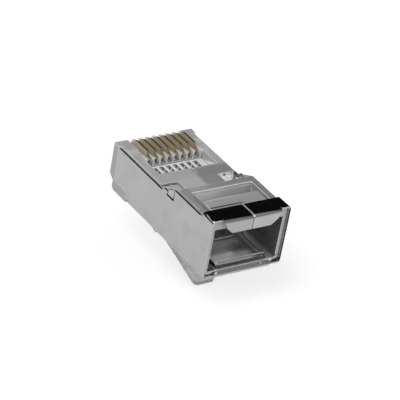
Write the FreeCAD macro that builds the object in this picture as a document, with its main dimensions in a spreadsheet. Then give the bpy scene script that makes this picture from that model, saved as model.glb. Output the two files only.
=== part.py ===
import FreeCAD, Part
import math
import os
import re
import Sketcher

# Shielded eight-way modular plug, as sold and not yet crimped onto a cable.
# +Y runs from the cable entry to the nose, +X across the plug, +Z towards the contact side.
# The origin is the middle of the cable entry, on the plug's rear face.
# Inside each sub-part, z is counted from the outer face of the shield's bottom.

SIZES = {
    # Whole plug
    "plug_width": 11.7,
    "plug_length": 22.85,
    "front_height": 6.5,
    "step_height": 1.88,
    "step_place": 8.0,

    # Folded shield
    "sheet": 0.25,
    "shield_gap": 0.03,
    "nose_reach": 1.25,
    "bend_radius": 0.5,
    "strap_depth": 2.36,
    "wall_drop": 0.71,
    "front_wall_drop": 0.25,
    "wall_ramp": 0.45,
    "shelf_length": 0.75,
    "shelf_rise": 0.45,
    "seam_width": 0.08,
    "flap_half_top": 4.3,
    "flap_half_middle": 3.8,
    "flap_half_bottom": 2.9,
    "flap_shoulder": 1.21,
    "flap_height": 1.96,
    "flap_bend": 0.6,
    "flap_stand": 0.38,
    "fold_relief": 0.2,
    "tab_fold": 8.5,
    "tab_length": 1.6,
    "tab_joggle": 0.3,
    "tab_inset": 0.12,
    "tab_drop": 0.23,
    "tab_slant": 0.7,
    "tab_room": 0.2,
    "slit": 0.12,
    "corner_cut_length": 3.2,
    "corner_cut_height": 1.4,
    "window_side": 3.5,
    "window_room": 2.75,
    "lip_half": 4.3,
    "lip_depth": 1.5,

    # Moulded housing
    "rear_inset": 0.3,
    "lip_inset": 0.05,
    "lip_drop": 0.15,
    "lip_height": 0.55,
    "nose_lower_inset": 0.95,
    "nose_ledge": 1.3,
    "nose_drop": 2.0,
    "nose_corner": 0.15,
    "nose_side_corner": 0.06,
    "nose_chin": 0.4,
    "frame_corner": 0.33,
    "cavity_wall": 0.5,
    "cavity_floor": 0.7,
    "cavity_setback": 10.25,
    "raised_floor": 1.45,
    "floor_lead": 0.45,
    "raised_half": 3.75,
    "roof_wall": 1.3,
    "front_roof_wall": 0.7,
    "throat_length": 1.8,
    "frame_window_half": 4.45,
    "frame_window_start": 0.14,
    "frame_window_setback": 1.4,
    "window_lip": 0.3,
    "bar_half": 4.1,
    "bar_gap": 1.5,
    "bar_drop": 0.2,
    "bar_thickness": 0.6,
    "bar_corner": 0.35,
    "pocket_half": 4.4,
    "pocket_length": 3.45,
    "pocket_depth": 1.25,
    "pocket_slope": 0.5,
    "rib_length": 0.35,
    "comb_margin": 0.42,
    "comb_slot_width": 0.46,
    "comb_slot_length": 1.3,
    "comb_slot_depth": 1.0,
    "tab_pocket_inner": 3.0,
    "tab_pocket_front": 11.9,
    "channel_radius": 0.54,
    "channel_depth": 3.55,
    "channel_stagger": 0.7,
    "channel_setback": 1.65,
    "slot_width": 0.62,
    "slot_depth": 1.0,
    "nose_slot_depth": 1.5,

    # Contact blades
    "pitch": 1.02,
    "blade_thickness": 0.35,
    "blade_room": 0.05,
    "blade_setback": 0.9,
    "blade_length": 3.45,
    "blade_slant": 0.1,
    "blade_rise": 0.75,
    "blade_height": 3.9,
    "blade_round": 1.0,
    "tine_height": 0.9,
    "shoulder_length": 0.5,
    "shoulder_drop": 0.6,
    "shoulder_height": 0.6,

    # Latch lever on its living hinge
    "hinge_setback": 1.95,
    "hinge_drop": 0.75,
    "hinge_radius": 0.45,
    "hinge_room": 0.06,
    "hinge_wall": 0.34,
    "hinge_half": 2.8,
    "latch_angle": 15.6,
    "wing_half": 3.01,
    "wing_flare": 1.2,
    "wing_length": 6.6,
    "wing_inner": 0.35,
    "wing_outer": 0.4,
    "lever_half": 1.6,
    "lever_start": 0.9,
    "lever_length": 15.3,
    "lever_outer": 1.4,
    "lever_thickness": 1.05,
    "tip_thickness": 0.8,
    "tip_round": 0.6,
}
CONTACT_COUNT = 8
TINE_COUNT = 3
# Heights, counted from the outer face of the shield's bottom
REAR_HEIGHT = "(front_height + step_height)"
REAR_WALL_TOP = f"({REAR_HEIGHT} - wall_drop)"
FRONT_WALL_TOP = "(front_height - front_wall_drop)"
FLAP_BOTTOM = f"({REAR_HEIGHT} - flap_height)"
TAB_BOTTOM = "(front_height - tab_drop)"
BLADE_TOP = "(front_height + blade_rise)"
SHOULDER_FOOT = f"({BLADE_TOP} - shoulder_drop - shoulder_height)"
POCKET_FLOOR = "(front_height - pocket_depth)"
UPPER_CHANNEL = "(front_height - channel_depth)"
LOWER_CHANNEL = f"({UPPER_CHANNEL} - channel_stagger)"
# Places along the plug, counted from its rear face
TAB_END = "(tab_fold + tab_length)"
WINDOW_REAR = "(strap_depth + frame_window_start)"
WINDOW_FRONT = "(step_place - frame_window_setback)"
BAR_FRONT = f"({WINDOW_FRONT} - bar_gap)"
SHIELD_END = "(plug_length - nose_reach)"
HINGE_PLACE = "(plug_length - hinge_setback)"
CAVITY_END = "(plug_length - cavity_setback)"
BLADE_FRONT = "(plug_length - blade_setback)"
TINE_REAR = f"({BLADE_FRONT} - blade_length - blade_slant)"
SHOULDER_REAR = f"({BLADE_FRONT} - blade_length - shoulder_length)"
POCKET_FRONT = f"({SHOULDER_REAR} - rib_length)"
POCKET_REAR = f"({POCKET_FRONT} - pocket_length)"
COMB_FRONT = f"({POCKET_FRONT} - comb_margin)"
COMB_REAR = f"({COMB_FRONT} - comb_slot_length)"
# The faces that the moulding turns to the shield and to the cable
HOUSING_BASE = "(sheet + shield_gap)"
HOUSING_HALF = "(plug_width / 2 - sheet - shield_gap)"
FRAME_TOP = f"({REAR_HEIGHT} - sheet - shield_gap)"
CAVITY_HALF = f"({HOUSING_HALF} - cavity_wall)"
CAVITY_ROOF = f"({FRAME_TOP} - roof_wall)"
FRONT_ROOF = "(front_height - front_roof_wall)"
# A cut starts or ends this far outside the material
CLEAR = 1

doc = FreeCAD.newDocument("ethernet_plug")
dims = doc.addObject("Spreadsheet::Sheet", "Dims")
for row, (alias, number) in enumerate(SIZES.items(), start=1):
    dims.set(f"A{row}", alias)
    dims.set(f"B{row}", str(number))
    dims.setAlias(f"B{row}", alias)
doc.recompute()


def cells(expression):
    """The expression with each size's name written as its cell of the sheet."""
    return re.sub("[a-z_]+", lambda word: f"Dims.{word[0]}" if word[0] in SIZES else word[0], expression)


def size(expression):
    """The value that an expression on the sheet's sizes has now."""
    return float(dims.evalExpression(cells(expression).replace("Dims.", "")))


def mirrored(points):
    """The +X half of an outline, followed by its mirror image back to the start."""
    return points + [(f"-({across})", *rest) for across, *rest in reversed(points)]


def start_body(label):
    body = doc.addObject("PartDesign::Body", label)
    body.Label = label
    body.setExpression("Placement.Base.z", cells(f"-{REAR_HEIGHT} / 2"))
    return body


def origin_item(body, role):
    return next(item for item in body.Origin.OriginFeatures if item.Role == role)


def on_plane(body, name, role, lift):
    """An empty sketch on one of the body's own planes, or lifted from it towards the positive axis."""
    sketch = body.newObject("Sketcher::SketchObject", name)
    sketch.AttachmentSupport = [(origin_item(body, role), "")]
    sketch.MapMode = "FlatFace"
    sign = "-1" if role == "XZ_Plane" else "1"
    sketch.setExpression("AttachmentOffset.Base.z", cells(f"{sign} * ({lift})"))
    return sketch


def bind(sketch, constraint, expression):
    sketch.setExpression(f"Constraints[{sketch.addConstraint(constraint)}]", expression)


def corner_arc(place, back, ahead, radius):
    """The arc that rounds a corner, and how far from the corner it starts."""
    half = back.getAngle(ahead) / 2
    reach = radius / math.tan(half)
    centre = place + (back + ahead).normalize() * (radius / math.sin(half))
    middle = centre + (place - centre).normalize() * radius
    return Part.Arc(place + back * reach, middle, place + ahead * reach), reach


def outline(body, name, role, corners, lift="0"):
    """A closed outline. Each corner's place, and its radius where it has one, is bound to the sheet."""
    sketch = on_plane(body, name, role, lift)
    bound = [[cells(part) for part in corner] for corner in corners]
    sizes = [[float(sketch.evalExpression(part)) for part in corner] for corner in bound]
    count = len(corners)
    places = [FreeCAD.Vector(across, up, 0) for across, up, *_ in sizes]
    starts, ends, arcs = [], [], {}
    for index, place in enumerate(places):
        back = (places[index - 1] - place).normalize()
        ahead = (places[(index + 1) % count] - place).normalize()
        reach = 0
        if len(sizes[index]) == 3:
            arcs[index], reach = corner_arc(place, back, ahead, sizes[index][2])
        ends.append(place + back * reach)
        starts.append(place + ahead * reach)
    for index in range(count):
        sketch.addGeometry(Part.LineSegment(starts[index], ends[(index + 1) % count]), False)
    for index, place in enumerate(places):
        before = (index - 1) % count
        held = index
        if index in arcs:
            arc = sketch.addGeometry(arcs[index], False)
            turns_left = (place - ends[index]).cross(starts[index] - place).z > 0
            first, last = (1, 2) if turns_left else (2, 1)
            sketch.addConstraint(Sketcher.Constraint("Tangent", before, 2, arc, first))
            sketch.addConstraint(Sketcher.Constraint("Tangent", index, 1, arc, last))
            bind(sketch, Sketcher.Constraint("Radius", arc, sizes[index][2]), bound[index][2])
            held = sketch.addGeometry(Part.Point(place), True)
            sketch.addConstraint(Sketcher.Constraint("PointOnObject", held, 1, before))
            sketch.addConstraint(Sketcher.Constraint("PointOnObject", held, 1, index))
        else:
            sketch.addConstraint(Sketcher.Constraint("Coincident", before, 2, index, 1))
        bind(sketch, Sketcher.Constraint("DistanceX", -1, 1, held, 1, sizes[index][0]), bound[index][0])
        bind(sketch, Sketcher.Constraint("DistanceY", -1, 1, held, 1, sizes[index][1]), bound[index][1])
    return sketch


def disc(body, name, role, across, up, radius, lift="0"):
    """A circle whose centre and radius are bound to the sheet."""
    sketch = on_plane(body, name, role, lift)
    bound = [cells(part) for part in (across, up, radius)]
    sizes = [float(sketch.evalExpression(part)) for part in bound]
    circle = Part.Circle(FreeCAD.Vector(sizes[0], sizes[1], 0), FreeCAD.Vector(0, 0, 1), sizes[2])
    sketch.addGeometry(circle, False)
    bind(sketch, Sketcher.Constraint("DistanceX", -1, 1, 0, 3, sizes[0]), bound[0])
    bind(sketch, Sketcher.Constraint("DistanceY", -1, 1, 0, 3, sizes[1]), bound[1])
    bind(sketch, Sketcher.Constraint("Radius", 0, sizes[2]), bound[2])
    return sketch


def settle(body, feature, sign):
    """Recomputes, and makes sure that the feature added (1) or took away (-1) material."""
    doc.recompute()
    before = feature.BaseFeature.Shape.Volume if feature.BaseFeature else 0
    if feature.Shape.isNull() or sign * (feature.Shape.Volume - before) <= 0:
        raise RuntimeError(f"{body.Label}: {feature.Label} changed nothing")
    return feature


def extrude(body, kind, name, sketch, length, both_ways):
    """A Pad or Pocket from its sketch towards the positive axis, or evenly to both sides."""
    feature = body.newObject(f"PartDesign::{kind}", name)
    feature.Profile = sketch
    feature.setExpression("Length", cells(length))
    feature.SideType = "Symmetric" if both_ways else "One side"
    faces_back = sketch.AttachmentSupport[0][0].Role == "XZ_Plane"
    feature.Reversed = faces_back if kind == "Pad" else not faces_back
    return settle(body, feature, 1 if kind == "Pad" else -1)


def pad(body, name, sketch, length, both_ways=False):
    return extrude(body, "Pad", name, sketch, length, both_ways)


def pocket(body, name, sketch, length, both_ways=False):
    return extrude(body, "Pocket", name, sketch, length, both_ways)


def mirror(body, name, feature, sign):
    """The feature once more, on the plug's other side."""
    other = body.newObject("PartDesign::Mirrored", name)
    other.Originals = [feature]
    other.MirrorPlane = (origin_item(body, "YZ_Plane"), [""])
    body.Tip = other
    return settle(body, other, sign)


def repeat_across(body, name, feature, step, count, sign):
    """The feature repeated along +X."""
    pattern = body.newObject("PartDesign::LinearPattern", name)
    pattern.Originals = [feature]
    pattern.Direction = (origin_item(body, "X_Axis"), [""])
    pattern.Mode = "Spacing"
    pattern.setExpression("Offset", cells(step))
    pattern.Occurrences = count
    body.Tip = pattern
    return settle(body, pattern, sign)


def straight_edges(feature, axis, **limits):
    """Names of the straight edges along an axis whose middle lies within the limits given as x, y or z."""
    names = []
    for number, edge in enumerate(feature.Shape.Edges, start=1):
        if not isinstance(edge.Curve, Part.Line) or abs(getattr(edge.Curve.Direction, axis)) < 0.999:
            continue
        middle = edge.valueAt((edge.FirstParameter + edge.LastParameter) / 2)
        if all(low <= abs(getattr(middle, name)) <= high for name, (low, high) in limits.items()):
            names.append(f"Edge{number}")
    return names


def dress(body, kind, name, feature, edges, amount):
    """A Fillet or Chamfer on the named edges."""
    dressing = body.newObject(f"PartDesign::{kind}", name)
    dressing.Base = (feature, edges)
    dressing.setExpression("Radius" if kind == "Fillet" else "Size", cells(amount))
    return settle(body, dressing, -1)


def make_shield():
    """One sheet folded round the housing: bottom, two walls, and a strap in two halves over the entry."""
    body = start_body("shield")
    section = outline(body, "tube_section", "XZ_Plane", mirrored([
        ("plug_width / 2", "0"),
        ("plug_width / 2", REAR_HEIGHT),
    ]))
    tube = pad(body, "tube", section, SHIELD_END)
    folds = dress(body, "Fillet", "folds", tube, straight_edges(tube, "y"), "bend_radius")
    walls = body.newObject("PartDesign::Thickness", "walls")
    ends = [f"Face{number}" for number, face in enumerate(folds.Shape.Faces, start=1)
            if abs(face.normalAt(0, 0).y) > 0.999]
    walls.Base = (folds, ends)
    walls.setExpression("Value", cells("sheet"))
    walls.Reversed = True
    settle(body, walls, -1)

    # The walls step down from the strap to the rear frame and again to the front section.
    steps = outline(body, "wall_line", "YZ_Plane", [
        ("strap_depth", f"{REAR_HEIGHT} + {CLEAR}"),
        ("strap_depth", f"{REAR_HEIGHT} - bend_radius"),
        ("strap_depth + wall_ramp", REAR_WALL_TOP),
        ("tab_fold", REAR_WALL_TOP),
        ("tab_fold", f"{TAB_BOTTOM} - slit"),
        (TAB_END, f"{TAB_BOTTOM} - slit"),
        (TAB_END, f"{FRONT_WALL_TOP} + shelf_rise"),
        (f"{TAB_END} + shelf_length", f"{FRONT_WALL_TOP} + shelf_rise"),
        (f"{TAB_END} + shelf_length + wall_ramp", FRONT_WALL_TOP),
        (f"{SHIELD_END} + {CLEAR}", FRONT_WALL_TOP),
        (f"{SHIELD_END} + {CLEAR}", f"{REAR_HEIGHT} + {CLEAR}"),
    ])
    pocket(body, "wall_tops", steps, "2 * plug_width", both_ways=True)

    # The two strap halves meet at a seam, and the corners of their rear edge are relieved for the fold.
    seam = outline(body, "seam_line", "XY_Plane", mirrored([
        ("seam_width / 2", f"-{CLEAR}"),
        ("seam_width / 2", f"strap_depth + {CLEAR}"),
    ]), lift=f"{REAR_HEIGHT} - 2 * sheet")
    pocket(body, "seam", seam, "3 * sheet")
    fold_edge = outline(body, "fold_line", "XY_Plane", mirrored([
        ("flap_half_top + fold_relief", f"-{CLEAR}"),
        ("flap_half_top + fold_relief", "0"),
        ("flap_half_top", "flap_bend - flap_stand"),
    ]), lift=f"{REAR_HEIGHT} - 2 * sheet")
    pocket(body, "fold_corners", fold_edge, "3 * sheet")

    # The bottom is open round the latch, and its front corners and rear edge are cut away.
    corner = outline(body, "corner_line", "YZ_Plane", [
        (f"{SHIELD_END} - corner_cut_length", f"-{CLEAR}"),
        (f"{SHIELD_END} - corner_cut_length", "corner_cut_height"),
        (f"{SHIELD_END} + {CLEAR}", "corner_cut_height"),
        (f"{SHIELD_END} + {CLEAR}", f"-{CLEAR}"),
    ])
    pocket(body, "front_corners", corner, "2 * plug_width", both_ways=True)
    window = outline(body, "latch_window_line", "XY_Plane", mirrored([
        ("window_side", f"{HINGE_PLACE} - wing_length - window_room"),
        ("window_side", SHIELD_END),
    ]), lift="-sheet")
    pocket(body, "latch_window", window, "3 * sheet")
    lip = outline(body, "lip_line", "XY_Plane", mirrored([
        ("lip_half", f"-{CLEAR}"),
        ("lip_half", "lip_depth"),
    ]), lift="-sheet")
    pocket(body, "lip_notch", lip, "3 * sheet")

    add_side_tabs(body)
    add_flaps(body)
    return body


def add_side_tabs(body):
    """A lanced tab in each wall, set in by a small joggle at its rear so that it hooks the housing's step."""
    outer_face = "plug_width / 2 - tab_inset"
    plan = outline(body, "tab_plan", "XY_Plane", [
        ("plug_width / 2 - sheet", "tab_fold - sheet"),
        ("plug_width / 2", "tab_fold - sheet"),
        ("plug_width / 2", "tab_fold"),
        (outer_face, "tab_fold + tab_joggle"),
        (outer_face, TAB_END),
        (f"{outer_face} - sheet", TAB_END),
        (f"{outer_face} - sheet", "tab_fold + tab_joggle"),
        ("plug_width / 2 - sheet", "tab_fold"),
    ], lift=TAB_BOTTOM)
    tab = pad(body, "right_tab", plan, f"{REAR_WALL_TOP} - {TAB_BOTTOM}")
    mirror(body, "left_tab", tab, 1)
    slant = outline(body, "tab_slant_line", "YZ_Plane", [
        ("tab_fold", REAR_WALL_TOP),
        (TAB_END, f"{REAR_WALL_TOP} - tab_slant"),
        (f"{TAB_END} + {CLEAR}", f"{REAR_WALL_TOP} - tab_slant"),
        (f"{TAB_END} + {CLEAR}", REAR_WALL_TOP),
    ])
    pocket(body, "tab_tops", slant, "2 * plug_width", both_ways=True)


def add_flaps(body):
    """The entry flaps: the strap's rear edge bent down outside the entry, in two halves with slanted ends."""
    bend_start = "flap_bend - flap_stand"
    profile = outline(body, "flap_profile", "YZ_Plane", [
        (bend_start, f"{REAR_HEIGHT} - sheet"),
        (bend_start, REAR_HEIGHT),
        ("-flap_stand", REAR_HEIGHT, "0.95 * flap_bend"),
        ("-flap_stand", FLAP_BOTTOM),
        ("sheet - flap_stand", FLAP_BOTTOM),
        ("sheet - flap_stand", f"{REAR_HEIGHT} - sheet", "0.95 * flap_bend - sheet"),
    ])
    pad(body, "flap_strip", profile, "2 * flap_half_top", both_ways=True)
    ends = outline(body, "flap_end_line", "XZ_Plane", [
        ("flap_half_top", f"{REAR_HEIGHT} - sheet"),
        ("flap_half_middle", f"{REAR_HEIGHT} - flap_shoulder"),
        ("flap_half_bottom", FLAP_BOTTOM),
        ("flap_half_bottom", f"{FLAP_BOTTOM} - {CLEAR}"),
        ("flap_half_top + sheet", f"{FLAP_BOTTOM} - {CLEAR}"),
        ("flap_half_top + sheet", f"{REAR_HEIGHT} - sheet"),
    ], lift=f"-flap_stand - {CLEAR}")
    slanted = pocket(body, "right_flap_end", ends, f"flap_bend + {CLEAR}")
    mirror(body, "left_flap_end", slanted, -1)
    split = outline(body, "flap_split_line", "XZ_Plane", mirrored([
        ("seam_width / 2", f"{FLAP_BOTTOM} - {CLEAR}"),
        ("seam_width / 2", f"{REAR_HEIGHT} + {CLEAR}"),
    ]), lift=f"-flap_stand - {CLEAR}")
    pocket(body, "flap_split", split, f"flap_bend + {CLEAR}")


def make_housing():
    """The clear moulding: a block with a raised rear frame, hollow from the cable entry to the contacts."""
    body = start_body("housing")
    side = outline(body, "side_profile", "YZ_Plane", [
        ("rear_inset", HOUSING_BASE),
        (f"{SHIELD_END} + shield_gap", HOUSING_BASE),
        (f"{SHIELD_END} + shield_gap", "front_height"),
        ("step_place", "front_height"),
        ("step_place", FRAME_TOP),
        ("rear_inset", FRAME_TOP),
    ])
    block = pad(body, "block", side, f"2 * {HOUSING_HALF}", both_ways=True)
    long_corners = straight_edges(block, "y", z=(size(FRAME_TOP) - 0.01, size(FRAME_TOP) + 0.01))
    long_corners += straight_edges(block, "y", z=(size(HOUSING_BASE) - 0.01, size(HOUSING_BASE) + 0.01))
    dress(body, "Chamfer", "block_corners", block, long_corners, "frame_corner")

    # The nose stands out to the shield's faces and fills its cut-away corners.
    nose_side = outline(body, "nose_profile", "YZ_Plane", [
        (f"{SHIELD_END} - corner_cut_length + shield_gap", "0"),
        ("plug_length - nose_lower_inset - nose_chin", "0"),
        ("plug_length - nose_lower_inset", "nose_chin"),
        ("plug_length - nose_lower_inset", "nose_ledge"),
        ("plug_length", "nose_drop"),
        ("plug_length", "front_height - nose_corner"),
        ("plug_length - nose_corner", "front_height"),
        (f"{SHIELD_END} + shield_gap", "front_height"),
        (f"{SHIELD_END} + shield_gap", "corner_cut_height - shield_gap"),
        (f"{SHIELD_END} - corner_cut_length + shield_gap", "corner_cut_height - shield_gap"),
    ])
    nose = pad(body, "nose", nose_side, "plug_width", both_ways=True)
    half = size("plug_width / 2")
    nose_edges = straight_edges(nose, "z", x=(half - 0.01, half + 0.01),
                                y=(size("plug_length") - 0.01, size("plug_length") + 0.01))
    dress(body, "Chamfer", "nose_sides", nose, nose_edges, "nose_side_corner")
    lip = outline(body, "lip_plan", "XY_Plane", mirrored([
        ("lip_half - shield_gap", "lip_inset"),
        ("lip_half - shield_gap", "lip_depth - shield_gap"),
    ]), lift="-lip_drop")
    pad(body, "entry_lip", lip, "lip_drop + lip_height")
    add_hinge_seat(body)

    cut_cable_cavity(body)
    cut_wire_channels(body)
    cut_frame_window(body)
    cut_conductor_pocket(body)
    cut_contact_slots(body)
    cut_tab_pockets(body)
    return body


def add_hinge_seat(body):
    """The root of the latch under the nose: a wall that wraps the front of the living hinge."""
    reach = "(hinge_radius + hinge_room + hinge_wall)"
    root = outline(body, "hinge_root_profile", "YZ_Plane", [
        (HINGE_PLACE, HOUSING_BASE),
        (HINGE_PLACE, f"-hinge_drop - {reach}"),
        (f"{HINGE_PLACE} + {reach}", f"-hinge_drop - {reach}", f"0.95 * {reach}"),
        (f"{HINGE_PLACE} + {reach}", HOUSING_BASE),
    ])
    pad(body, "hinge_root", root, "2 * hinge_half", both_ways=True)
    round_seat = "hinge_radius + hinge_room"
    seat = disc(body, "hinge_seat_circle", "YZ_Plane", HINGE_PLACE, "-hinge_drop", round_seat)
    pocket(body, "hinge_seat", seat, "2 * plug_width", both_ways=True)


def cut_cable_cavity(body):
    """The cable's way in: a hollow with a raised middle floor and a lead-in, higher under the rear frame."""
    section = outline(body, "cavity_section", "XZ_Plane", mirrored([
        ("raised_half", "raised_floor"),
        ("raised_half", "cavity_floor"),
        (CAVITY_HALF, "cavity_floor"),
        (CAVITY_HALF, FRONT_ROOF),
    ]))
    cavity = pocket(body, "cavity", section, CAVITY_END)
    edge = straight_edges(cavity, "x", y=(size("rear_inset") - 0.01, size("rear_inset") + 0.01),
                          z=(size("raised_floor") - 0.01, size("raised_floor") + 0.01))
    dress(body, "Chamfer", "floor_lead_in", cavity, edge, "floor_lead")
    upper = outline(body, "upper_cavity_section", "XZ_Plane", mirrored([
        (CAVITY_HALF, FRONT_ROOF),
        (CAVITY_HALF, CAVITY_ROOF),
    ]))
    pocket(body, "upper_cavity", upper, WINDOW_FRONT)


def cut_wire_channels(body):
    """The throat that gathers the wires, and two staggered rows of blind channels under the contacts."""
    wide = outline(body, "throat_start", "XZ_Plane", mirrored([
        (CAVITY_HALF, "raised_floor"),
        (CAVITY_HALF, FRONT_ROOF),
    ]), lift=CAVITY_END)
    half = f"{(CONTACT_COUNT - 1) / 2} * pitch + channel_radius"
    narrow = outline(body, "throat_end", "XZ_Plane", mirrored([
        (half, f"{LOWER_CHANNEL} - channel_radius"),
        (half, f"{UPPER_CHANNEL} + channel_radius"),
    ]), lift=f"{CAVITY_END} + throat_length")
    throat = body.newObject("PartDesign::SubtractiveLoft", "throat")
    throat.Profile = wide
    throat.Sections = [narrow]
    throat.Ruled = True
    settle(body, throat, -1)
    for name, height, first in (("upper", UPPER_CHANNEL, 0), ("lower", LOWER_CHANNEL, 1)):
        across = f"{first - (CONTACT_COUNT - 1) / 2} * pitch"
        start = disc(body, f"{name}_channel_circle", "XZ_Plane", across, height, "channel_radius",
                     lift=f"{CAVITY_END} + throat_length / 2")
        length = f"plug_length - channel_setback - {CAVITY_END} - throat_length / 2"
        channel = pocket(body, f"{name}_channel", start, length)
        repeat_across(body, f"{name}_channels", channel, "2 * pitch", CONTACT_COUNT // 2, -1)


def cut_frame_window(body):
    """The window over the cable, with its lip, and the jacket bar that reaches into it from the rear."""
    opening = outline(body, "window_plan", "XY_Plane", mirrored([
        ("frame_window_half", WINDOW_REAR),
        ("frame_window_half", WINDOW_FRONT),
    ]), lift=f"{CAVITY_ROOF} - sheet")
    pocket(body, "frame_window", opening, f"{REAR_HEIGHT} - {CAVITY_ROOF} + sheet")
    bevel = outline(body, "window_lip_profile", "YZ_Plane", [
        (WINDOW_FRONT, f"{FRAME_TOP} - window_lip"),
        (f"{WINDOW_FRONT} + window_lip", FRAME_TOP),
        (f"{WINDOW_FRONT} + window_lip", f"{REAR_HEIGHT} + {CLEAR}"),
        (WINDOW_FRONT, f"{REAR_HEIGHT} + {CLEAR}"),
    ])
    pocket(body, "window_bevel", bevel, "2 * frame_window_half", both_ways=True)
    plan = outline(body, "jacket_bar_plan", "XY_Plane", mirrored([
        ("bar_half", f"{WINDOW_REAR} - sheet"),
        ("bar_half", BAR_FRONT, "bar_corner"),
    ]), lift=f"{FRAME_TOP} - bar_drop - bar_thickness")
    pad(body, "jacket_bar", plan, "bar_thickness")


def cut_conductor_pocket(body):
    """The open pocket over the wires, with the comb of slots in its floor."""
    opening = outline(body, "pocket_profile", "YZ_Plane", [
        (POCKET_REAR, f"front_height + {CLEAR}"),
        (POCKET_REAR, "front_height"),
        (f"{POCKET_REAR} + pocket_slope", POCKET_FLOOR),
        (POCKET_FRONT, POCKET_FLOOR),
        (POCKET_FRONT, f"front_height + {CLEAR}"),
    ])
    pocket(body, "conductor_pocket", opening, "2 * pocket_half", both_ways=True)
    first = f"-{(CONTACT_COUNT - 2) / 2} * pitch"
    slot = outline(body, "comb_slot_plan", "XY_Plane", [
        (f"{first} - comb_slot_width / 2", COMB_REAR),
        (f"{first} + comb_slot_width / 2", COMB_REAR),
        (f"{first} + comb_slot_width / 2", COMB_FRONT),
        (f"{first} - comb_slot_width / 2", COMB_FRONT),
    ], lift=f"{POCKET_FLOOR} - comb_slot_depth")
    cut = pocket(body, "comb_slot", slot, "comb_slot_depth + sheet")
    repeat_across(body, "comb_slots", cut, "pitch", CONTACT_COUNT - 1, -1)


def cut_contact_slots(body):
    """For each blade a wide slot from the pocket to the nose, and in it a close one down to the channels."""
    first = f"-{(CONTACT_COUNT - 1) / 2} * pitch"
    wide = outline(body, "wide_slot_profile", "YZ_Plane", [
        (f"{POCKET_FRONT} - blade_room", f"front_height + {CLEAR}"),
        (f"{POCKET_FRONT} - blade_room", "front_height - slot_depth"),
        (f"{BLADE_FRONT} + blade_room", "front_height - slot_depth"),
        (f"{BLADE_FRONT} + blade_room", "front_height - nose_slot_depth"),
        (f"plug_length + {CLEAR}", "front_height - nose_slot_depth"),
        (f"plug_length + {CLEAR}", f"front_height + {CLEAR}"),
    ], lift=f"{first} - slot_width / 2")
    opened = pocket(body, "wide_slot", wide, "slot_width")
    repeat_across(body, "wide_slots", opened, "pitch", CONTACT_COUNT, -1)
    close = outline(body, "blade_slot_profile", "YZ_Plane", [
        (f"{TINE_REAR} - blade_room", "front_height"),
        (f"{TINE_REAR} - blade_room", LOWER_CHANNEL),
        (f"{BLADE_FRONT} + blade_room", LOWER_CHANNEL),
        (f"{BLADE_FRONT} + blade_room", "front_height"),
    ], lift=f"{first} - blade_thickness / 2 - blade_room")
    cut = pocket(body, "blade_slot", close, "blade_thickness + 2 * blade_room")
    repeat_across(body, "blade_slots", cut, "pitch", CONTACT_COUNT, -1)


def cut_tab_pockets(body):
    """A shallow pocket beside the step on each side, where the shield's tab hooks in."""
    plan = outline(body, "tab_pocket_plan", "XY_Plane", [
        ("tab_pocket_inner", "step_place"),
        ("plug_width / 2", "step_place"),
        ("plug_width / 2", "tab_pocket_front"),
        ("tab_pocket_inner", "tab_pocket_front"),
    ], lift=f"{TAB_BOTTOM} - tab_room")
    cut = pocket(body, "right_tab_pocket", plan, REAR_HEIGHT)
    mirror(body, "left_tab_pocket", cut, -1)


def make_contact(number):
    """One gold-plated blade: rounded nose, rear shoulder, and a row of tines below."""
    body = start_body(f"contact_{number}")
    foot = f"{BLADE_TOP} - blade_height"
    tines = []
    for tine in range(TINE_COUNT):
        along = f"{TINE_REAR} + (blade_length + blade_slant) * {tine} / {TINE_COUNT}"
        tines.append((along, f"{foot} + tine_height"))
        tines.append((f"{along} + (blade_length + blade_slant) / {2 * TINE_COUNT}", foot))
    profile = outline(body, f"blade_profile_{number}", "YZ_Plane", [
        (BLADE_FRONT, f"{foot} + tine_height"),
        (BLADE_FRONT, BLADE_TOP, "blade_round"),
        (f"{BLADE_FRONT} - blade_length", BLADE_TOP, "blade_slant"),
        (TINE_REAR, f"{BLADE_TOP} - shoulder_drop"),
        (SHOULDER_REAR, f"{BLADE_TOP} - shoulder_drop"),
        (SHOULDER_REAR, SHOULDER_FOOT),
        (TINE_REAR, SHOULDER_FOOT),
        *tines,
    ])
    pad(body, f"blade_{number}", profile, "blade_thickness", both_ways=True)
    body.setExpression("Placement.Base.x", cells(f"{number - (CONTACT_COUNT + 1) / 2} * pitch"))
    return body


def make_latch_lever():
    """The sprung lever, drawn straight back from its hinge axis and then set at its rest angle."""
    body = start_body("latch_lever")
    knuckle = disc(body, "knuckle_circle", "YZ_Plane", "0", "0", "hinge_radius")
    pad(body, "knuckle", knuckle, "2 * hinge_half", both_ways=True)
    wings = outline(body, "wing_plan", "XY_Plane", mirrored([
        ("hinge_half", "0"),
        ("wing_half", "-wing_flare"),
        ("wing_half", "-wing_length"),
    ]), lift="-wing_outer")
    pad(body, "wings", wings, "wing_inner + wing_outer")
    strip = outline(body, "lever_profile", "YZ_Plane", [
        ("-lever_start", "wing_inner"),
        ("-lever_start", "-wing_outer"),
        ("-lever_start - lever_outer + wing_outer", "-lever_outer", "lever_thickness / 2"),
        ("-lever_length", "-lever_outer"),
        ("-lever_length", "tip_thickness - lever_outer"),
        ("-wing_length - lever_thickness", "lever_thickness - lever_outer"),
        ("-wing_length", "wing_inner"),
    ])
    lever = pad(body, "lever", strip, "2 * lever_half", both_ways=True)
    tip = (size("lever_length") - 0.01, size("lever_length") + 0.01)
    dress(body, "Fillet", "tip_corners", lever, straight_edges(lever, "z", y=tip), "tip_round")
    place = f"vector(0; {HINGE_PLACE}; -hinge_drop - {REAR_HEIGHT} / 2)"
    turn = "rotation(vector(1; 0; 0); latch_angle)"
    body.setExpression("Placement.Base.z", None)
    body.setExpression("Placement", cells(f"placement({place}; {turn})"))
    return body


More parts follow.
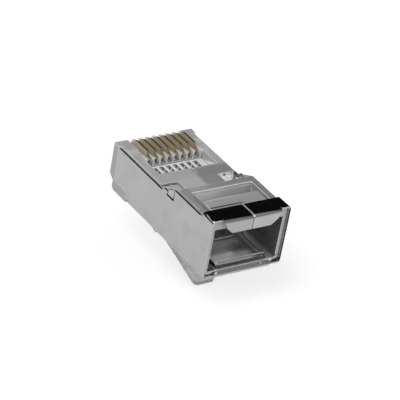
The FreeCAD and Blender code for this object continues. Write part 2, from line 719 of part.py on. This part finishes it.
bodies = [make_housing(), make_latch_lever(), make_shield()]
bodies += [make_contact(number) for number in range(1, CONTACT_COUNT + 1)]
doc.recompute()

for item in doc.Objects:
    if "Invalid" in item.State or "Error" in item.State:
        raise RuntimeError(f"{item.Label} did not recompute")
for body in bodies:
    if body.Shape.isNull() or not body.Shape.isValid() or len(body.Shape.Solids) != 1:
        raise RuntimeError(f"{body.Label} is not one valid solid")

os.makedirs("parts", exist_ok=True)
for body in bodies:
    body.Shape.exportStep(os.path.join("parts", f"{body.Label}.step"))
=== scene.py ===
from math import prod, radians

import bpy
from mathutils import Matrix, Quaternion, Vector


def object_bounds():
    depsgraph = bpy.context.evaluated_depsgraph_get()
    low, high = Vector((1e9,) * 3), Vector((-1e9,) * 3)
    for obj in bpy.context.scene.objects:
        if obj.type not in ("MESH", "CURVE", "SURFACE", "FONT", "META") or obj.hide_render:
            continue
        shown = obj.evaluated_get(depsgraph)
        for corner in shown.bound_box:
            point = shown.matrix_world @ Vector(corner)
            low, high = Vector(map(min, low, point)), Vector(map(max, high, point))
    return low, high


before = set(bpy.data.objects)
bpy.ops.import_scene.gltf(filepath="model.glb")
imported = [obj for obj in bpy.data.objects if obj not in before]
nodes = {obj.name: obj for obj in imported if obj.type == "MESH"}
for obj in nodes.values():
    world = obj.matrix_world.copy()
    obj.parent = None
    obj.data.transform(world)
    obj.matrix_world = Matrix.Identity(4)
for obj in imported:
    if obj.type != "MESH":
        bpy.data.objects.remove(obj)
cad_low, cad_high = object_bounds()

# Camera
# The plug is seen from behind its cable entry, to the left and above, with the picture slightly rolled.
# A long lens far away keeps its long edges almost parallel.
LOOK_AT = Vector((-0.00278, 0.00722, 0.00235))
CAMERA_AZIMUTH = radians(-38.54)
CAMERA_ELEVATION = radians(30.91)
CAMERA_ROLL = radians(10.96)
CAMERA_DISTANCE = 0.2721
CAMERA_LENS = 198.0
CAMERA_NEAR = 0.01

camera = bpy.data.objects.new("camera", bpy.data.cameras.new("camera"))
bpy.context.scene.collection.objects.link(camera)
camera.data.lens = CAMERA_LENS
camera.data.clip_start = CAMERA_NEAR
sight = Vector((0, 0, 1))
sight.rotate(Quaternion((1, 0, 0), radians(90) - CAMERA_ELEVATION))
sight.rotate(Quaternion((0, 0, 1), CAMERA_AZIMUTH))
camera.location = LOOK_AT + sight * CAMERA_DISTANCE
camera.rotation_mode = "QUATERNION"
camera.rotation_quaternion = (-sight).to_track_quat("-Z", "Y") @ Quaternion((0, 0, 1), CAMERA_ROLL)
bpy.context.scene.camera = camera
bpy.context.scene.view_settings.view_transform = "Standard"


# Studio
# A white table in a white surround. What bright metal mirrors is a black ceiling ahead of the plug, a grey
# room behind it, and a table that ends in a dark rim. Two soft boxes light the plug, and the table keeps
# its shadow.
def grey(brightness):
    """A grey as a shader's colour."""
    return (brightness, brightness, brightness, 1)


TABLE_HALF = 1.5
TABLE_DROP = 0.0002
TABLE_GREY = grey(0.62)
TABLE_GLOW = 0.60
MIRRORED_GLOW = 0.35
MIRRORED_RIM = 0.045
MIRRORED_RIM_END = 1.7 * MIRRORED_RIM
WHITE_SURROUND = grey(1)
CEILING_GREY = grey(0.004)
ROOM_GREY = grey(0.33)
AMBIENT_GREY = grey(0.35)
THROUGH_GREY = grey(0.4)
LEFT_PANEL_GREY = grey(0.8)
LEFT_PANEL_HEIGHTS = (0.38, 0.48, 0.68, 0.60)
LEFT_PANEL_SIDE = (0.0, -0.25)
ROOM_TO_CEILING = (-0.45, 0.10)
SOFT_BOXES = {
    # name: place, side, watts
    "left_soft_box": ((-0.35, -0.10, 0.42), 0.40, 1.6),
    "right_soft_box": ((0.32, -0.30, 0.30), 0.30, 0.6),
}


class Value:
    """A number or colour that varies over a surface. A sum of them adds the shader's own maths nodes."""

    def __init__(self, finish, socket):
        self.finish = finish
        self.socket = socket

    def maths(self, operation, *numbers):
        return self.finish.add("ShaderNodeMath", {"operation": operation}, dict(enumerate(numbers)))

    def __add__(self, other):
        return self.maths("ADD", self, other)

    def __sub__(self, other):
        return self.maths("SUBTRACT", self, other)

    def __rsub__(self, other):
        return self.maths("SUBTRACT", other, self)

    def __mul__(self, other):
        return self.maths("MULTIPLY", self, other)

    __radd__ = __add__
    __rmul__ = __mul__


class Finish:
    """The shader of one finish, or of the studio's surround."""

    def __init__(self, owner):
        owner.use_nodes = True
        self.owner = owner
        self.tree = owner.node_tree
        self.tree.nodes.clear()

    def add(self, kind, settings, sockets, out=0):
        """A node: first its settings, with a ramp's stops among them, then its sockets' values or links."""
        node = self.tree.nodes.new(kind)
        for name, setting in settings.items():
            if name == "stops":
                ramp = node.color_ramp
                while len(ramp.elements) < len(setting):
                    ramp.elements.new(0.5)
                for stop, (position, brightness) in zip(ramp.elements, setting):
                    stop.position = position
                    stop.color = grey(brightness)
            else:
                setattr(node, name, setting)
        for name, given in sockets.items():
            if isinstance(given, Value):
                self.tree.links.new(given.socket, node.inputs[name])
            else:
                node.inputs[name].default_value = given
        return Value(self, node.outputs[out]) if node.outputs else None

    def mix(self, factor, first, second):
        """Two colours mixed, each a (red, green, blue, 1) or a link."""
        sockets = {0: factor, 6: first, 7: second}
        return self.add("ShaderNodeMix", {"data_type": "RGBA"}, sockets, out=2)

    def parts(self, vector):
        """The vector's three numbers."""
        return [self.add("ShaderNodeSeparateXYZ", {}, {"Vector": vector}, out=axis) for axis in "XYZ"]

    def rise(self, number, start, end):
        """0 up to the start and 1 from the end, with a smooth rise between. It falls where end is less."""
        sockets = {"Value": number, "From Min": start, "From Max": end}
        return self.add("ShaderNodeMapRange", {"interpolation_type": "SMOOTHSTEP"}, sockets)

    def zone(self, *sides):
        """1 in a zone and 0 outside it. A side is a number, then the start and end of each of its rises."""
        first, *others = [self.rise(number, *ends)
                          for number, *steps in sides for ends in zip(steps[::2], steps[1::2])]
        return prod(others, start=first)

    def most(self, first, *others):
        """The greatest of several numbers."""
        for other in others:
            first = other.maths("MAXIMUM", first, other)
        return first

    def ray(self, kind):
        """1 for the named kind of ray, such as what the camera sees, and 0 for all others."""
        return self.add("ShaderNodeLightPath", {}, {}, out=f"Is {kind} Ray")


table_finish = Finish(bpy.data.materials.new("white_table"))
table_paint = table_finish.add("ShaderNodeBsdfDiffuse", {}, {"Color": TABLE_GREY})
table_place = table_finish.add("ShaderNodeTexCoord", {}, {}, out="Object")
from_middle = table_finish.add("ShaderNodeVectorMath", {"operation": "LENGTH"}, {0: table_place}, out="Value")
lit_middle = table_finish.rise(from_middle, MIRRORED_RIM_END, MIRRORED_RIM)
mirrored_table = (table_finish.ray("Glossy") * lit_middle + table_finish.ray("Transmission")) * MIRRORED_GLOW
glow = table_finish.ray("Camera") * TABLE_GLOW + mirrored_table
table_glow = table_finish.add("ShaderNodeEmission", {}, {"Strength": glow})
table_mixed = table_finish.add("ShaderNodeAddShader", {}, {0: table_paint, 1: table_glow})
table_finish.add("ShaderNodeOutputMaterial", {}, {"Surface": table_mixed})

table_mesh = bpy.data.meshes.new("table")
table_z = cad_low.z - TABLE_DROP
corners = [(x * TABLE_HALF, y * TABLE_HALF, table_z) for x, y in ((-1, -1), (1, -1), (1, 1), (-1, 1))]
table_mesh.from_pydata(corners, [], [(0, 1, 2, 3)])
table_mesh.materials.append(table_finish.owner)
table = bpy.data.objects.new("table", table_mesh)
bpy.context.scene.collection.objects.link(table)

bpy.context.scene.world = bpy.data.worlds.new("surround")
surround = Finish(bpy.context.scene.world)
direction = surround.add("ShaderNodeTexCoord", {}, {}, out="Generated")
aside, ahead, above = surround.parts(direction)
left_panel = surround.zone((above, *LEFT_PANEL_HEIGHTS), (aside, *LEFT_PANEL_SIDE))
mirrored_ahead = surround.mix(left_panel, CEILING_GREY, LEFT_PANEL_GREY)
mirrored_room = surround.mix(surround.rise(ahead, *ROOM_TO_CEILING), ROOM_GREY, mirrored_ahead)
seen_in_metal = surround.mix(surround.ray("Glossy"), AMBIENT_GREY, mirrored_room)
seen_through = surround.mix(surround.ray("Transmission"), seen_in_metal, THROUGH_GREY)
sky = surround.mix(surround.ray("Camera"), seen_through, WHITE_SURROUND)
background = surround.add("ShaderNodeBackground", {}, {"Color": sky, "Strength": 1.0})
surround.add("ShaderNodeOutputWorld", {}, {"Surface": background})

for name, (place, side, watts) in SOFT_BOXES.items():
    lamp = bpy.data.lights.new(name, "AREA")
    lamp.size = side
    lamp.energy = watts
    box = bpy.data.objects.new(name, lamp)
    box.location = place
    box.rotation_mode = "QUATERNION"
    box.rotation_quaternion = (LOOK_AT - Vector(place)).to_track_quat("-Z", "Y")
    box.visible_glossy = False
    bpy.context.scene.collection.objects.link(box)


# Housing
# One moulding in clear polycarbonate: the block that holds the contacts, the comb behind them, and the frame
# round the jacket bar. Light gives the real plastic milky, pale and dark patches; here they are painted on by
# place, as painted highlights and painted shade, and each zone below gives them in mm from the middle, the
# cable entry and the base.
MM = 0.001
# How far the base lies below the frame's zero, in mm
BASE_DEPTH = 4.19
PLASTIC_TINT = grey(0.85)
PLASTIC_INDEX = 1.585
PLASTIC_ROUGHNESS = 0.05
ROUGHNESS_WAVES = 900
ROUGHNESS_SWING = 0.04
RIPPLE_WAVES = 260
MILKY = grey(0.70)
# Tints of the painted shade and the painted highlights in the milky plastic
MILKY_PAINTED_SHADE = grey(0.40)
MILKY_PAINTED_HIGHLIGHT = grey(0.95)
MILKY_ROUGHNESS = 0.25
# The grey of the painted shade, in the plastic and on its rounded edges
PAINTED_SHADE_GREY = grey(0.02)
RIPPLE_DEPTH = 0.00004
# The rounded plastic edges are painted near white as a painted highlight
EDGE_PAINTED_HIGHLIGHT = grey(0.95)
EDGE_ROUGHNESS = 0.2
EDGE_TRANSMISSION = 0.2
PLASTIC_EDGE = 0.00006
SPOT_CORE = 0.4
SLOPE = (0.5, 0.6, 0.9, 0.8)
LIP_HEIGHTS = (0.06, 0.16, 0.66, 0.60)
# Painted glints on the lip under the entry
LIP_GLINTS = [
    # middle, size, strength
    ((4.39, 0.3, 0.54), 0.34, 1.0),
    ((-3.84, 0.05, 0.41), 0.2, 1.0),
    ((2.87, 0.09, 0.55), 0.16, 0.6),
]


class PieceFinish(Finish):
    """The finish of a piece of the plug."""

    def __init__(self, name):
        super().__init__(bpy.data.materials.new(name))

    def place(self):
        """How far a point lies across from the middle, along from the entry and up from the base, in mm."""
        object_place = self.add("ShaderNodeTexCoord", {}, {}, out="Object")
        across, along, height = [number * (1 / MM) for number in self.parts(object_place)]
        return across, along, height + BASE_DEPTH

    def turns(self):
        """How far a face turns to the right, to the nose and up, each from -1 to 1."""
        return self.parts(self.add("ShaderNodeTexCoord", {}, {}, out="Normal"))

    def spot(self, place, middle, size):
        """1 at the middle of a small spot and 0 outside it. The place is three numbers, in mm."""
        apart = [number - centre for number, centre in zip(place, middle)]
        squares = [number * number for number in apart]
        return self.rise(squares[0] + squares[1] + squares[2], size * size, SPOT_CORE * size * size)

    def lip_glints(self, place):
        """Painted glints on the lip under the entry, at the corners where the real lip catches the light."""
        glints = [self.spot(place, middle, size) * strength for middle, size, strength in LIP_GLINTS]
        return self.most(*glints)

    def noise(self, scale, detail=2.0):
        """A cloudy pattern from 0 to 1 that stays with its piece. Its scale is waves in a metre."""
        place = self.add("ShaderNodeTexCoord", {}, {}, out="Object")
        return self.add("ShaderNodeTexNoise", {}, {"Vector": place, "Scale": scale, "Detail": detail})

    def bump(self, height, depth):
        return self.add("ShaderNodeBump", {}, {"Height": height, "Distance": depth, "Strength": 1.0})

    def principled(self, sockets):
        return self.add("ShaderNodeBsdfPrincipled", {}, sockets)

    def show(self, surface):
        self.add("ShaderNodeOutputMaterial", {}, {"Surface": surface})


def dress(name, finish, edge, edge_finish=None):
    """Gives a CAD piece its finish, and rounds its sharp edges by a hair so that they catch the light. The
    rounding takes the edge finish, which on the plastic is painted highlight and painted shade.
    """
    node = nodes[name]
    node.data.materials.clear()
    node.data.materials.append(finish.owner)
    node.data.materials.append((edge_finish or finish).owner)
    weld = node.modifiers.new("weld", "WELD")
    weld.merge_threshold = 0.000001
    eased = node.modifiers.new("eased_edges", "BEVEL")
    eased.width = edge
    eased.segments = 2
    eased.limit_method = "ANGLE"
    eased.angle_limit = radians(40)
    eased.harden_normals = True
    eased.use_clamp_overlap = False
    eased.material = 1


plastic = PieceFinish("clear_polycarbonate")
zone, most, rise = plastic.zone, plastic.most, plastic.rise
place = across, along, level = plastic.place()
turned_x, turned_y, turned_z = plastic.turns()
off_middle = across * across
to_left = rise(turned_x, -0.5, -0.9)
to_rear = rise(turned_y, -0.5, -0.9)
upper = rise(level, 4.8, 5.0)
top = rise(turned_z, 0.5, 0.9) * upper

# The comb, its pocket behind the contacts, and the nose ahead of them. The comb, its web and teeth, a wedge
# of the pocket's side and the bumps on the nose are painted light as painted highlights, the comb's slots
# dark as painted shade.
pocket = zone((along, 14.0, 14.2, 18.4, 18.2)) * upper
pocket_wedge = zone((across, 4.2, 4.3), (along, 14.1, 14.2, 17.7, 17.6), (level + along * 0.39, 11.98, 11.9))
pocket_wedge = pocket_wedge * to_left
comb = zone((along, 14.5, 14.7), (level, 5.5, 5.3)) * top
comb_web = zone((along, 16.4, 16.5, 17.3, 17.2), (level, 4.1, 4.2, 5.4, 5.3))
teeth = zone((along, 17.5, 17.6, 19.0, 18.8), (level, 3.7, 3.9), (off_middle, 19.0, 18.0))
slot_front = zone((along, 16.75, 16.85), (level, 4.8, 4.95))
slot_rear = zone((along, 16.5, 16.4), (level, 4.5, 4.6))
comb_slots = zone((level, 5.22, 5.16), (along, 15.85, 15.9, 17.22, 17.14)) * most(slot_front, slot_rear)
nose = most(rise(along, 21.4, 21.8), zone((along, 18.2, 18.4), (level, 1.5, 1.4)))
nose_bumps = zone((along, 21.9, 22.0), (level, 6.0, 6.1), (off_middle, 16.5, 16.0))

# The frame round the jacket bar, and its window. The frame's top, its left rail, the window's side and the
# deck over the cavity are painted darker as painted shade, and a painted shadow lies on the jacket bar next
# to the strap's front edge.
frame_top = rise(level, 7.0, 7.2) * top
jacket_bar = zone((along, 5.2, 5.1), (level, 7.95, 7.92)) * frame_top
frame_slope = zone((turned_z, *SLOPE), (level, 7.2, 7.4))
left_rail = zone((across, -4.4, -4.5), (level, 7.85, 7.95), (turned_z, 0.5, 0.6))
window_side = zone((across, 4.2, 4.3, 4.7, 4.6), (along, 6.9, 6.8), (level, 6.2, 6.3)) * to_left
window_front = zone((along, 6.3, 6.4, 7.0, 6.9), (level, 6.2, 6.5)) * to_rear
side_strip = rise(level, 6.2, 6.26) * to_left
strap_shadow = zone((along, 3.20, 3.26, 3.50, 3.44), (across, 1.5, 0.0)) * jacket_bar
over_cavity = zone((across, -0.1, 0.5), (along, 14.5, 13.5)) * top

# The pocket of the right side tab, painted light as a painted highlight with a darker dot and lines in it,
# and a painted oval glint beside it
tab_pocket_painted_highlight = zone((across, 2.8, 2.9), (along, 10.4, 10.6, 12.0, 11.95), (level, 6.45, 6.4)) * upper
tab_pocket_painted_highlight = tab_pocket_painted_highlight * rise(across + (11.9 - along) * 0.75, 5.5, 5.35)
tab_line = zone((across + along * 0.27, 7.10, 7.17, 7.29, 7.22), (along, 11.0, 11.1))
tab_upright = zone((across - along * 0.55, -1.57, -1.50, -1.36, -1.43))
tab_dot = plastic.spot(place, (4.02, 11.9, 6.17), 0.21)
tab_dark_dot_and_lines = most(tab_dot, tab_line * 0.4, tab_upright * 0.4) * tab_pocket_painted_highlight
painted_oval_glint = plastic.spot(place, (5.36, 10.72, 6.07), 0.36)

# The cable cavity, its raised floor and lead-in, and the lip under the entry. Painted shade lies in the left
# recess, on the lead-in, the raised floor's rear face, the lip's band, a step in the raised floor and the
# right wall; the raised floor's bands and the side floor are painted lighter, and the lip has painted glints.
cavity = zone((level, 0.6, 0.65, 6.9, 6.8), (along, 0.32, 0.40, 12.8, 12.6))
right_wall = zone((across, 5.0, 5.05, 5.35, 5.25), (along, 8.4, 8.3)) * cavity
side_floor = zone((level, 0.8, 0.75), (across, 3.6, 3.7)) * cavity
recess = zone((across, -3.6, -3.7), (level, 1.6, 1.5, 0.6, 0.65), (along, 0.32, 0.4, 6.1, 6.0))
lead_in = zone((turned_z, *SLOPE), (level, 1.26, 1.20))
rear_rim = rise(along, 0.5, 0.4) * to_rear
rear_step = zone((along, 0.27, 0.29, 0.36, 0.33), (level, 0.76, 0.84, 1.3, 1.2), (off_middle, 24.0, 21.0))
lip_reach = most(rise(along, 0.29, 0.26), zone((across, 4.6, 4.7), (along, 0.5, 0.4)))
lip_band = zone((level, *LIP_HEIGHTS)) * lip_reach
lip_glints = plastic.lip_glints(place)
raised_floor = zone((turned_z, 0.5, 0.6), (level, 1.9, 1.8, 0.9, 1.0)) * cavity
floor_step_painted_shade = zone((across, 3.0, 3.08, 3.30, 3.22)) * raised_floor
painted_floor_bands = most(
    zone((along, 5.15, 5.25, 5.55, 5.45)) * 0.7,
    zone((along, 3.2, 4.2, 5.0, 4.7)) * 0.35,
    rise(along, 2.8, 1.6) * 0.45)
painted_floor_light = raised_floor * painted_floor_bands * rise(across, 2.8, 1.2)

# The milky plastic's tint with its painted highlights and painted shade, and how much of it shows over the
# clear plastic, raised on tops and in the painted zones so that their painted tints show
painted_highlights = most(comb, comb_web, tab_pocket_painted_highlight, nose_bumps, teeth * 0.7, pocket_wedge, painted_oval_glint, lip_glints)
painted_dark_patches = most(frame_top - jacket_bar * 0.4, left_rail, window_side) + over_cavity * (1 - frame_top)
painted_shade = most(
    strap_shadow, recess, lead_in, rear_step * 0.95, lip_band * 0.8, floor_step_painted_shade * 0.6, right_wall * 0.8,
    left_rail * 0.3, comb_slots * 0.85, tab_dark_dot_and_lines) * (1 - lip_glints)
milky_and_painted_tint = plastic.mix(painted_highlights, plastic.mix(painted_dark_patches, MILKY, MILKY_PAINTED_SHADE), MILKY_PAINTED_HIGHLIGHT)
milky_and_painted_tint = plastic.mix(painted_shade, milky_and_painted_tint, PAINTED_SHADE_GREY)
milkiness = most(
    0.10 - cavity * 0.07 + side_floor * 0.40 + painted_floor_light,
    top * 0.62, rear_rim * 0.85, painted_highlights * 0.92, pocket * 0.6, nose * 0.6, frame_slope * 0.6,
    side_strip * 0.7, window_side * 0.6, painted_shade * 0.85, window_front * 0.5)

ripple = plastic.bump(plastic.noise(RIPPLE_WAVES), RIPPLE_DEPTH)
clear_plastic = plastic.principled({
    "Base Color": PLASTIC_TINT,
    "Transmission Weight": 1.0,
    "IOR": PLASTIC_INDEX,
    "Roughness": plastic.noise(ROUGHNESS_WAVES) * ROUGHNESS_SWING + PLASTIC_ROUGHNESS,
    "Normal": ripple,
})
milky_plastic = plastic.principled({
    "Base Color": milky_and_painted_tint,
    "IOR": PLASTIC_INDEX,
    "Roughness": MILKY_ROUGHNESS,
    "Normal": ripple,
})
plastic.show(plastic.add("ShaderNodeMixShader", {}, {0: milkiness, 1: clear_plastic, 2: milky_plastic}))

# The rounded edges are painted bright as a painted highlight, and painted darker as painted shade on the
# lead-in, the base, the window, the cavity, the lip and the left rail, in this order; the painted glints on
# the lip stay bright
edges = PieceFinish("plastic_edges_painted_highlight")
zone, most = edges.zone, edges.most
place = across, along, level = edges.place()
painted_shade_on_edges = most(
    zone((along, 0.6, 0.55), (level, 0.9, 0.93, 1.3, 1.25)) * 0.95,
    zone((along, 0.5, 0.4), (level, 0.02, -0.04)) * 0.4,
    zone((along, 6.3, 6.4, 6.75, 6.7), (level, 7.5, 7.6, 7.95, 7.9)) * 0.4,
    zone((along, 0.55, 0.6), (level, 0.6, 0.65, 6.2, 6.0), (across, -3.5, -3.4)) * 0.85,
    zone((along, 0.5, 0.4), (level, *LIP_HEIGHTS)) * 0.95,
    zone((level, 7.6, 7.7), (across, -4.7, -4.8)) * 0.6) * (1 - edges.lip_glints(place))
edges.show(edges.principled({
    "Base Color": edges.mix(painted_shade_on_edges, EDGE_PAINTED_HIGHLIGHT, PAINTED_SHADE_GREY),
    "IOR": PLASTIC_INDEX,
    "Roughness": EDGE_ROUGHNESS,
    "Transmission Weight": EDGE_TRANSMISSION,
}))
dress("housing", plastic, PLASTIC_EDGE, edges)


# Latch lever
# Moulded in one with the housing in the same clear polycarbonate, and joined to it at the nose by a thin root
# that bends as its hinge. It is evenly half milky.
LEVER_MILKINESS = 0.5

lever = PieceFinish("lever_polycarbonate")
clear_lever = lever.principled({
    "Base Color": PLASTIC_TINT,
    "Transmission Weight": 1.0,
    "IOR": PLASTIC_INDEX,
    "Roughness": PLASTIC_ROUGHNESS,
})
milky_lever = lever.principled({"Base Color": MILKY, "IOR": PLASTIC_INDEX, "Roughness": MILKY_ROUGHNESS})
lever.show(lever.add("ShaderNodeMixShader", {}, {0: LEVER_MILKINESS, 1: clear_lever, 2: milky_lever}))
dress("latch_lever", lever, PLASTIC_EDGE, edges)


# Shield
# One sheet of nickel-plated brass, folded round the housing, with its two strap halves meeting over the
# entry. The sheet is bright but not flat, so what it mirrors wavers, and handling has left faint smudges.
# Painted shade darkens the left flap, the tops of the walls and the rear cut edge, and the strap's seam and
# two points on the strap carry painted highlights.
NICKEL = grey(0.55)
# The grey of the smudges, and of the painted shade on the left flap
NICKEL_SMUDGE_AND_SHADE = grey(0.48)
SMUDGE_STOPS = [(0.45, 0.0), (0.75, 1.0)]
# The strap's seam is painted lighter and matt as a painted highlight
SEAM_PAINTED_HIGHLIGHT = grey(0.50)
# The tops of the walls and the rear cut edge are painted near black as painted shade
CUT_EDGE_PAINTED_SHADE = grey(0.03)
# Two painted glints on the strap, at its left rear corner and at the rear end of its seam
CORNER_GLINT = grey(0.95)
SMUDGE_WAVES = 350
SHEET_ROUGHNESS = 0.09
SHEET_ROUGHNESS_WAVES = 700
SHEET_ROUGHNESS_SWING = 0.08
SHEET_WAVES = 160
SHEET_WAVE_DEPTH = 0.00005
SHEET_EDGE = 0.00004

nickel = PieceFinish("nickel_sheet")
zone, most = nickel.zone, nickel.most
place = across, along, level = nickel.place()
turned_x, turned_y, turned_z = nickel.turns()
smudges = nickel.add("ShaderNodeValToRGB", {"stops": SMUDGE_STOPS}, {"Fac": nickel.noise(SMUDGE_WAVES, 4.0)})
# The left flap is painted darker as painted shade
left_flap_painted_shade = zone((across, 0.0, -0.1, -4.6, -4.5), (along, 0.35, 0.2))
strap_seam_painted_highlight = zone((across * across, 0.020, 0.008), (level, 8.2, 8.25))
wall_top_painted_shade = zone((turned_z, 0.3, 0.5), (level, 6.0, 6.1, 7.8, 7.72))
rear_cut_painted_shade = zone((across, 5.5, 5.6), (turned_y, -0.3, -0.6), (level, 8.1, 8.0))
strap_glints = most(
    nickel.spot(place, (-5.68, 0.12, 8.27), 0.16),
    nickel.spot(place, (0.1, -0.19, 8.19), 0.18))
sheet_tint = nickel.mix(most(smudges, left_flap_painted_shade), NICKEL, NICKEL_SMUDGE_AND_SHADE)
sheet_tint = nickel.mix(strap_seam_painted_highlight, sheet_tint, SEAM_PAINTED_HIGHLIGHT)
sheet_tint = nickel.mix(most(wall_top_painted_shade, rear_cut_painted_shade), sheet_tint, CUT_EDGE_PAINTED_SHADE)
sheet_tint = nickel.mix(strap_glints, sheet_tint, CORNER_GLINT)
nickel.show(nickel.principled({
    "Base Color": sheet_tint,
    "Metallic": 1 - most(strap_seam_painted_highlight, strap_glints),
    "Roughness": nickel.noise(SHEET_ROUGHNESS_WAVES) * SHEET_ROUGHNESS_SWING + SHEET_ROUGHNESS,
    "Normal": nickel.bump(nickel.noise(SHEET_WAVES), SHEET_WAVE_DEPTH),
}))
dress("shield", nickel, SHEET_EDGE)


# Contacts
# Eight blades stamped from copper alloy. The punch leaves their sides matt, and the plating on their narrow
# faces is bright gold. Their rounded edges are given a darker gold.
GOLD = (0.70, 0.54, 0.30, 1)
GOLD_WORN = (0.56, 0.42, 0.22, 1)
BLADE_SIDE = (0.54, 0.48, 0.36, 1)
GOLD_RIM = (0.42, 0.30, 0.11, 1)
WEAR_WAVES = 1500
GOLD_ROUGHNESS_WAVES = 2500
GRAIN_WAVES = 3000
GRAIN_DEPTH = 0.000003
BLADE_EDGE = 0.00005
CONTACT_COUNT = 8

gold = PieceFinish("gold_plate")
facing = gold.add("ShaderNodeTexCoord", {}, {}, out="Normal")
sideways = gold.add("ShaderNodeSeparateXYZ", {}, {"Vector": facing}, out="X")
side = sideways * sideways
plating = gold.mix(gold.noise(WEAR_WAVES, 3.0), GOLD, GOLD_WORN)
gold.show(gold.principled({
    "Base Color": gold.mix(side, plating, BLADE_SIDE),
    "Metallic": 0.85 - side * 0.65,
    "Roughness": side * 0.3 + gold.noise(GOLD_ROUGHNESS_WAVES) * 0.06 + 0.14,
    "Normal": gold.bump(gold.noise(GRAIN_WAVES), GRAIN_DEPTH),
}))
gold_edges = PieceFinish("gold_edges")
gold_edges.show(gold_edges.principled({"Base Color": GOLD_RIM, "Metallic": 0.6, "Roughness": 0.3}))
for number in range(1, CONTACT_COUNT + 1):
    dress(f"contact_{number}", gold, BLADE_EDGE, gold_edges)
